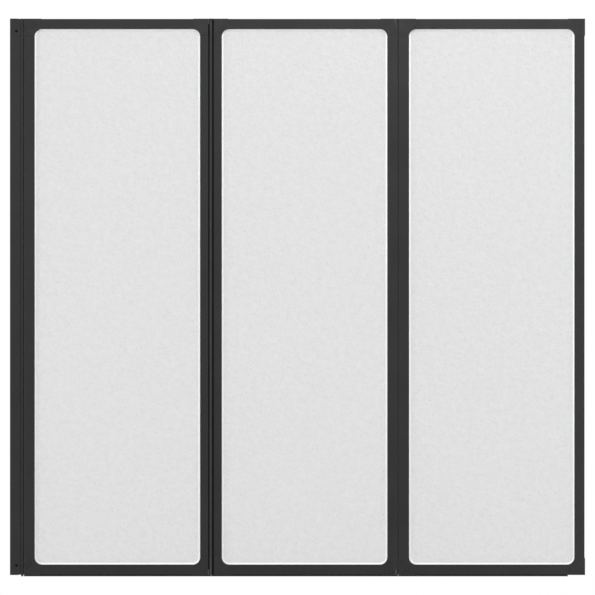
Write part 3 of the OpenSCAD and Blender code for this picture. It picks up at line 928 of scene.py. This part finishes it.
class BATHSCREEN_OT_panes(bpy.types.Operator):
    """Makes the translucent panes with their pebbled relief"""

    bl_idname = "bath_screen.panes"
    bl_label = "Panes"

    def execute(self, context):
        sizes = settings()[1]
        for number in PANELS:
            node = panel_node(number, "pane")
            piece = model_pane(number, sizes)
            dress(piece, f"pebbled_pane_{number}", panel_body(number), "pane", node)
        return {"FINISHED"}


class BATHSCREEN_OT_gaskets(bpy.types.Operator):
    """Makes the white glazing gaskets with round lips"""

    bl_idname = "bath_screen.gaskets"
    bl_label = "Glazing gaskets"

    def execute(self, context):
        sizes = settings()[1]
        for number in PANELS:
            node = panel_node(number, "glazing_gasket")
            piece = merged_copy(node)
            round_gasket_lips(piece, number, sizes)
            dress(piece, f"pane_gasket_{number}", panel_body(number), "gasket", node)
        return {"FINISHED"}


class BATHSCREEN_OT_seals(bpy.types.Operator):
    """Makes the black wiping seals under the panels"""

    bl_idname = "bath_screen.seals"
    bl_label = "Bottom seals"

    def execute(self, context):
        sizes = settings()[1]
        for number in PANELS:
            node = panel_node(number, "bottom_seal")
            piece = merged_copy(node)
            soften_edges(piece, sizes.moulding_edge / 2)
            dress(piece, f"wiping_seal_{number}", panel_body(number), "seal", node)
        return {"FINISHED"}


class BATHSCREEN_OT_hinges(bpy.types.Operator):
    """Makes the hinge pins and their flanged bushes"""

    bl_idname = "bath_screen.hinges"
    bl_label = "Pins and bushes"

    def execute(self, context):
        sizes = settings()[1]
        pins = [("wall_hinge_pins", "hinge_pins_wall", "wall_frame")]
        for number in HINGED_PANELS:
            pins.append((panel_node(number, "hinge_pins"), f"hinge_pins_{number}", panel_body(number)))
        for node, name, body in pins:
            turned = [turned_pin(low, high, sizes.pin_edge) for low, high in solids_of(node)]
            dress(join_pieces(turned), name, body, "steel", node)
        for number in PANELS:
            node = panel_node(number, "hinge_bushes")
            piece = merged_copy(node)
            soften_edges(piece, sizes.moulding_edge / 2)
            dress(piece, f"flanged_bushes_{number}", panel_body(number), "bush", node)
        return {"FINISHED"}


class BATHSCREEN_OT_screws(bpy.types.Operator):
    """Makes the frame screws and the black adjusting screws, with threads and recesses"""

    bl_idname = "bath_screen.screws"
    bl_label = "Screws"

    def execute(self, context):
        sizes = settings()[1]
        piece = model_adjusting_screws("adjusting_screws", sizes)
        dress(piece, "channel_screws", "wall_frame", "black_screw", "adjusting_screws")
        piece = model_frame_screws("post_screws", sizes)
        dress(piece, "bracket_screws", "wall_frame", "steel", "post_screws")
        for number in PANELS:
            node = panel_node(number, "frame_screws")
            piece = model_frame_screws(node, sizes)
            dress(piece, f"corner_screws_{number}", panel_body(number), "steel", node)
        return {"FINISHED"}


# Stage

def combine(tree, operation, first, second):
    """Two values joined by a node's arithmetic, kept between 0 and 1."""
    node = tree.nodes.new("ShaderNodeMath")
    node.operation = operation
    node.use_clamp = True
    tree.links.new(first, node.inputs[0])
    tree.links.new(second, node.inputs[1])
    return node.outputs["Value"]


def either(tree, switch, off, on):
    """The value off where the switch is 0 and the value on where it is 1."""
    node = tree.nodes.new("ShaderNodeMix")
    tree.links.new(switch, node.inputs["Factor"])
    tree.links.new(off, node.inputs["A"])
    tree.links.new(on, node.inputs["B"])
    return node.outputs["Result"]


def white_world(stage):
    """A room that looks white, lights the screen plainly and is mirrored darker below the horizon."""
    world = bpy.data.worlds.new("white_room")
    world.use_nodes = True
    tree = world.node_tree
    background = tree.nodes["Background"]
    background.inputs["Color"].default_value = (1, 1, 1, 1)
    path = tree.nodes.new("ShaderNodeLightPath")
    behind = path.outputs["Is Transmission Ray"]
    seen = combine(tree, "MAXIMUM", path.outputs["Is Camera Ray"], behind)
    mirror = combine(tree, "SUBTRACT", path.outputs["Is Glossy Ray"], behind)
    direction = tree.nodes.new("ShaderNodeTexCoord")
    parts = tree.nodes.new("ShaderNodeSeparateXYZ")
    tree.links.new(direction.outputs["Generated"], parts.inputs["Vector"])
    mirrored = spread(tree, parts.outputs["Z"], stage.mirrored_low, stage.mirrored_high,
                      start=-stage.horizon, end=stage.horizon)
    plain = spread(tree, seen, stage.ambient, 1, start=0, end=1)
    strength = either(tree, mirror, plain, mirrored)
    tree.links.new(strength, background.inputs["Strength"])
    bpy.context.scene.world = world


def pale_floor(stage):
    """A wide round floor that looks white and keeps the screen's shadow."""
    centre = (CAD_LOW + CAD_HIGH) / 2
    bpy.ops.mesh.primitive_circle_add(vertices=FLOOR_SIDES, radius=stage.floor_radius, fill_type="NGON",
                                      location=(centre.x, centre.y, CAD_LOW.z - stage.floor_drop))
    floor = bpy.context.object
    floor.name = "floor"
    settle(floor)
    color = (stage.floor_shade, stage.floor_shade, stage.floor_shade)
    material, tree, shader = new_material("pale_floor", color, roughness=0.7)
    cloud = noise(tree, place_pattern(tree), size=0.3, detail=3.0)
    vary_color(tree, shader, cloud, color, darker=0.99, lighter=1.01)
    vary_roughness(tree, shader, cloud, low=0.66, high=0.74)
    shader.inputs["Emission Color"].default_value = (1, 1, 1, 1)
    path = tree.nodes.new("ShaderNodeLightPath")
    seen = spread(tree, path.outputs["Is Camera Ray"], 0, stage.floor_glow, start=0, end=1)
    behind = spread(tree, path.outputs["Is Transmission Ray"], 0, stage.floor_behind, start=0, end=1)
    glow = combine(tree, "MAXIMUM", seen, behind)
    tree.links.new(glow, shader.inputs["Emission Strength"])
    floor.data.materials.append(material)
    floor.select_set(False)


def add_lamp(name, kind, location, target, **values):
    """A lamp that shines from location to target and doesn't dazzle through the panes."""
    bpy.ops.object.light_add(type=kind, location=location)
    lamp = bpy.context.object
    lamp.name = name
    lamp.visible_transmission = False
    lamp.rotation_euler = (Vector(target) - Vector(location)).to_track_quat("-Z", "Y").to_euler()
    for key, value in values.items():
        setattr(lamp.data, key, value)
    lamp.select_set(False)


class BATHSCREEN_OT_stage(bpy.types.Operator):
    """Sets the camera, the pale floor, the white room and the lamps"""

    bl_idname = "bath_screen.stage"
    bl_label = "Stage"

    def execute(self, context):
        stage = settings()[2]
        scene = context.scene
        scene.view_settings.view_transform = "Standard"
        middle = (CAD_LOW + CAD_HIGH) / 2
        white_world(stage)
        pale_floor(stage)
        add_lamp("sun", "SUN", middle + SUN_PLACE, middle, energy=stage.sun_strength, angle=SUN_WIDTH)
        powers = {"key": stage.key_power, "right": stage.right_power, "left": stage.left_power}
        for name, (place, target, width, height) in LAMPS.items():
            add_lamp(name, "AREA", place, target, energy=powers[name], shape="RECTANGLE",
                     size=width, size_y=height)
        camera_data = bpy.data.cameras.new("front")
        camera_data.lens = stage.lens
        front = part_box(panel_node(1, "top_rail"))[0].y
        distance = stage.view_width * stage.lens / camera_data.sensor_width
        camera = bpy.data.objects.new("front", camera_data)
        camera.location = (stage.view_x, front - distance, stage.view_z)
        camera.rotation_euler = (math.pi / 2, 0, 0)
        camera_data.clip_end = CAMERA_REACH
        scene.collection.objects.link(camera)
        scene.camera = camera
        return {"FINISHED"}


class BATHSCREEN_PT_panel(bpy.types.Panel):
    """Lists the pieces of the screen"""

    bl_idname = "BATHSCREEN_PT_panel"
    bl_label = "Bath Screen"
    bl_space_type = "VIEW_3D"
    bl_region_type = "UI"
    bl_category = "Bath Screen"

    def draw(self, context):
        for group in settings():
            box = self.layout.box()
            for name in group.bl_rna.properties.keys():
                if name not in ("rna_type", "name"):
                    box.prop(group, name)
        for operator in PIECES:
            self.layout.operator(operator.bl_idname)


PIECES = (
    BATHSCREEN_OT_profiles,
    BATHSCREEN_OT_corner_pieces,
    BATHSCREEN_OT_wall_mouldings,
    BATHSCREEN_OT_panes,
    BATHSCREEN_OT_gaskets,
    BATHSCREEN_OT_seals,
    BATHSCREEN_OT_hinges,
    BATHSCREEN_OT_screws,
    BATHSCREEN_OT_stage,
)
CLASSES = (ScreenFinishes, ScreenSizes, ScreenStage, *PIECES, BATHSCREEN_PT_panel)


def register():
    """Registers the classes and gives the scene its three groups of settings."""
    for cls in CLASSES:
        bpy.utils.register_class(cls)
    bpy.types.Scene.bath_screen_finishes = PointerProperty(type=ScreenFinishes)
    bpy.types.Scene.bath_screen_sizes = PointerProperty(type=ScreenSizes)
    bpy.types.Scene.bath_screen_stage = PointerProperty(type=ScreenStage)


def unregister():
    """Takes back what register did."""
    del bpy.types.Scene.bath_screen_stage
    del bpy.types.Scene.bath_screen_sizes
    del bpy.types.Scene.bath_screen_finishes
    for cls in reversed(CLASSES):
        bpy.utils.unregister_class(cls)


def main():
    """Makes every piece and the stage."""
    register()
    bpy.ops.bath_screen.profiles()
    bpy.ops.bath_screen.corner_pieces()
    bpy.ops.bath_screen.wall_mouldings()
    bpy.ops.bath_screen.panes()
    bpy.ops.bath_screen.gaskets()
    bpy.ops.bath_screen.seals()
    bpy.ops.bath_screen.hinges()
    bpy.ops.bath_screen.screws()
    bpy.ops.bath_screen.stage()
    bpy.context.view_layer.update()


if __name__ == "__main__":
    main()
